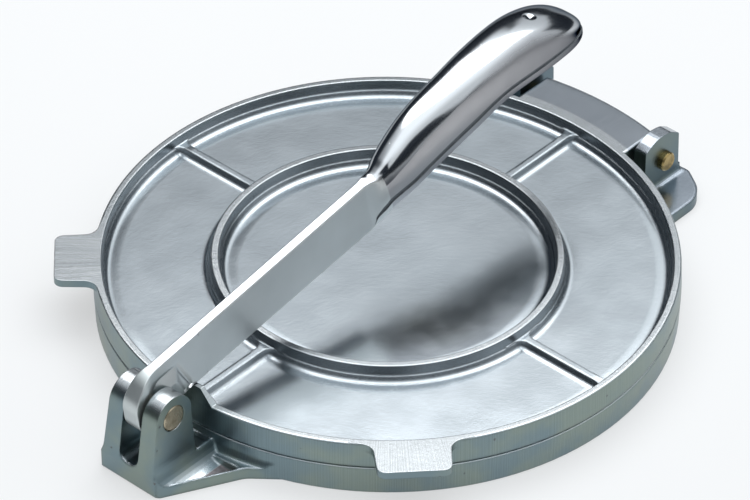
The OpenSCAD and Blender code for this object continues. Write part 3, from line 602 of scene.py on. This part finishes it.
def lever_head():
    """Rays from the pin, from the bore to the side view's outline, for each side, joined over the rounded
    edge. The edge stays sharp where the head is cut off, so that the bar runs on from it."""
    outline = head_outline()
    corners = np.arctan2(outline[:, 1], outline[:, 0])
    a = np.unique(np.concatenate([np.linspace(-np.pi, np.pi, 321)[:-1], corners]))
    rays = np.stack([np.cos(a), np.sin(a)], -1)
    reach = np.maximum(outline_reach(outline, rays), HUB_R)
    s_end, w_end = reach * rays[:, 0], reach * rays[:, 1]
    cut = (np.abs(s_end - HEAD_TO) < 0.01) & (w_end < BAR_TOP) & (w_end > -BAR_DROP + EDGE_R)
    soft = column(np.where(cut, 0.001, EDGE_R))
    end = column(reach) - soft
    r = BORE_R + (end - BORE_R) * np.linspace(0, 1, 56)[None, :]
    x = head_half(r * rays[:, :1], r * rays[:, 1:])
    turn = np.radians([20, 40, 60, 75, 90])[None, :]
    r = np.concatenate([r, end + soft * np.sin(turn)], 1)
    x = np.concatenate([x, x[:, -1:] - soft * (1 - np.cos(turn))], 1)
    s, w = r * rays[:, :1], r * rays[:, 1:]
    one, two = leaning(x, s, w), leaning(-x[:, ::-1], s[:, ::-1], w[:, ::-1])
    return np.concatenate([one, two], 1), True, True, 0


casting("lever_casting", [bar_and_grip(), lever_head()], "lever", "lever",
        [lever_metal, hollow_and_crease_shade_metal])


# ---------------------------------------------------------------- floor, light and camera

def paper_floor(name):
    """Matt white paper. Seen directly or in the metal it is lifted over half way to white, and keeps its
    shadows."""
    mat = bpy.data.materials.new(name)
    mat.use_nodes = True
    tree = mat.node_tree
    out, bsdf = tree.nodes["Material Output"], tree.nodes["Principled BSDF"]
    bsdf.inputs["Base Color"].default_value = linear("#DDE0E2")
    bsdf.inputs["Roughness"].default_value = 0.85
    rays = add(tree, "ShaderNodeLightPath", {}, {}).node.outputs
    seen = add(tree, MATH, {"operation": "MAXIMUM"}, {0: rays["Is Camera Ray"], 1: rays["Is Glossy Ray"]})
    seen = add(tree, MATH, {"operation": "MAXIMUM"}, {0: seen, 1: rays["Is Transmission Ray"]})
    share = add(tree, MATH, TIMES, {0: seen, 1: 0.55})
    white = add(tree, "ShaderNodeEmission", {}, {"Color": (1, 1, 1, 1), "Strength": 1.0})
    mix = add(tree, "ShaderNodeMixShader", {}, {0: share, 1: bsdf.outputs[0], 2: white})
    tree.links.new(mix, out.inputs["Surface"])
    return mat


floor_mesh = bpy.data.meshes.new("floor")
floor_mesh.from_pydata([(-4, -4, 0), (4, -4, 0), (4, 4, 0), (-4, 4, 0)], [], [(0, 1, 2, 3)])
floor = bpy.data.objects.new("floor", floor_mesh)
floor_mesh.materials.append(paper_floor("matt_white_paper"))
bpy.context.scene.collection.objects.link(floor)


def softbox(name, centre, aim, size, power):
    """A rectangular soft light at centre that faces aim, both in metres, with its width level."""
    centre, aim = np.array(centre), np.array(aim)
    lamp = bpy.data.lights.new(name, "AREA")
    lamp.shape, lamp.size, lamp.size_y = "RECTANGLE", size[0], size[1]
    lamp.energy = power
    z = (centre - aim) / np.linalg.norm(centre - aim)
    x = np.cross([0.0, 0.0, 1.0], z)
    x = x / np.linalg.norm(x)
    m = np.eye(4)
    m[:3, 0], m[:3, 1], m[:3, 2], m[:3, 3] = x, np.cross(z, x), z, centre
    obj = bpy.data.objects.new(name, lamp)
    obj.matrix_world = Matrix(m.tolist())
    bpy.context.scene.collection.objects.link(obj)


# It hangs behind and above the press. Its lower edge is just over what the near trays mirror, so they catch
# its glow, and the far trays look farther under it.
softbox("overhead_softbox", (-0.185, 0.223, 0.70), (-0.01, -0.01, 0.0), (0.9, 0.5), 3.0)


def studio_world(name):
    """A studio tent that is white overhead. Below a height that changes round the room it is dark, where the
    tent is open: the ramp gives that height, as the sine of the elevation, for each direction."""
    world = bpy.data.worlds.new(name)
    world.use_nodes = True
    tree = world.node_tree
    sky = tree.nodes["Background"]
    way = add(tree, "ShaderNodeTexCoord", {}, {}, "Generated")
    z = add(tree, SEPARATE, {}, {0: way}, 2)
    # turn round the room from 0 to 1, clockwise seen from above: 0.5 is behind the press, 0 in front of it
    back = (-0.665, 0.747, 0.0)
    aside_back = (back[1], -back[0], 0.0)
    ahead = add(tree, VECTOR, {"operation": "DOT_PRODUCT"}, {0: way, 1: back}, "Value")
    aside = add(tree, VECTOR, {"operation": "DOT_PRODUCT"}, {0: way, 1: aside_back}, "Value")
    turn = add(tree, MATH, {"operation": "ARCTAN2"}, {0: aside, 1: ahead})
    turn = add(tree, RANGE, {}, {0: turn, 1: -math.pi, 2: math.pi})
    height = add(tree, "ShaderNodeValToRGB", {}, {0: turn})
    # degrees clockwise from behind the press, and height
    fill_ramp(height, [(degrees / 360 + 0.5, level) for degrees, level in (
        (-180, 0.64), (-170, 0.60), (-160, 0.34), (-135, 0.50), (-105, 0.66), (-60, 0.72), (-22, 0.74),
        (-5, 0.60), (-1, 0.58), (1, 0.575), (4, 0.60), (5.5, 0.60), (8.5, 0.22), (14, 0.20), (20, 0.33),
        (31, 0.44), (45, 0.50), (60, 0.54), (72, 0.14), (98, 0.03), (108, 0.05), (113, 0.24), (120, 0.38),
        (145, 0.46), (157, 0.26), (170, 0.60), (180, 0.64))])
    over = add(tree, MATH, MINUS, {0: z, 1: height})
    # the edge is crisp on the right, where the tent's cloth ends, and soft on the left
    soft = add(tree, RANGE, SMOOTH, {0: aside, 1: -0.6, 2: 0.35, 3: 0.30, 4: 0.03})
    lit = add(tree, MATH, OVER, {0: over, 1: soft})
    lit = add(tree, RANGE, SMOOTH, {0: lit, 1: -0.5, 2: 1.0})
    white = add(tree, MIX, COLOUR, {0: lit, 6: linear("#2A3038"), 7: linear("#F4F8FB")}, 2)
    # the cloth is brightest straight overhead
    cloth = add(tree, RANGE, SMOOTH, {0: z, 1: 0.45, 2: 0.95, 3: 0.85, 4: 1.55})
    tree.links.new(white, sky.inputs["Color"])
    tree.links.new(cloth, sky.inputs["Strength"])
    return world


bpy.context.scene.world = studio_world("studio_tent")


def studio_camera(name, azimuth, elevation, roll, distance, target, lens):
    """A camera at distance from target. It stands azimuth round from -Y towards +X and elevation up, is
    rolled by roll, all in radians, and has a lens in millimetres on 36 mm of width."""
    ahead = np.array([-math.sin(azimuth) * math.cos(elevation), math.cos(azimuth) * math.cos(elevation),
                      -math.sin(elevation)])
    level = np.array([math.cos(azimuth), math.sin(azimuth), 0.0])
    upright = np.cross(level, ahead)
    right = math.cos(roll) * level + math.sin(roll) * upright
    up = -math.sin(roll) * level + math.cos(roll) * upright
    data = bpy.data.cameras.new(name)
    data.sensor_fit, data.sensor_width, data.lens = "HORIZONTAL", 36.0, lens
    data.clip_end = 20.0
    m = np.eye(4)
    m[:3, 0], m[:3, 1], m[:3, 2], m[:3, 3] = right, up, -ahead, target - ahead * distance
    camera = bpy.data.objects.new(name, data)
    camera.matrix_world = Matrix(m.tolist())
    bpy.context.scene.collection.objects.link(camera)
    return camera


# From the clevis side, 41.7 degrees round and 38.8 degrees up, with a 247 mm lens.
bpy.context.scene.camera = studio_camera(
    "camera", 0.7277, 0.6771, 0.0048, 1.8049, np.array([-0.02152, 0.01763, 0.0]), 247.01)
bpy.context.scene.view_settings.view_transform = "Standard"
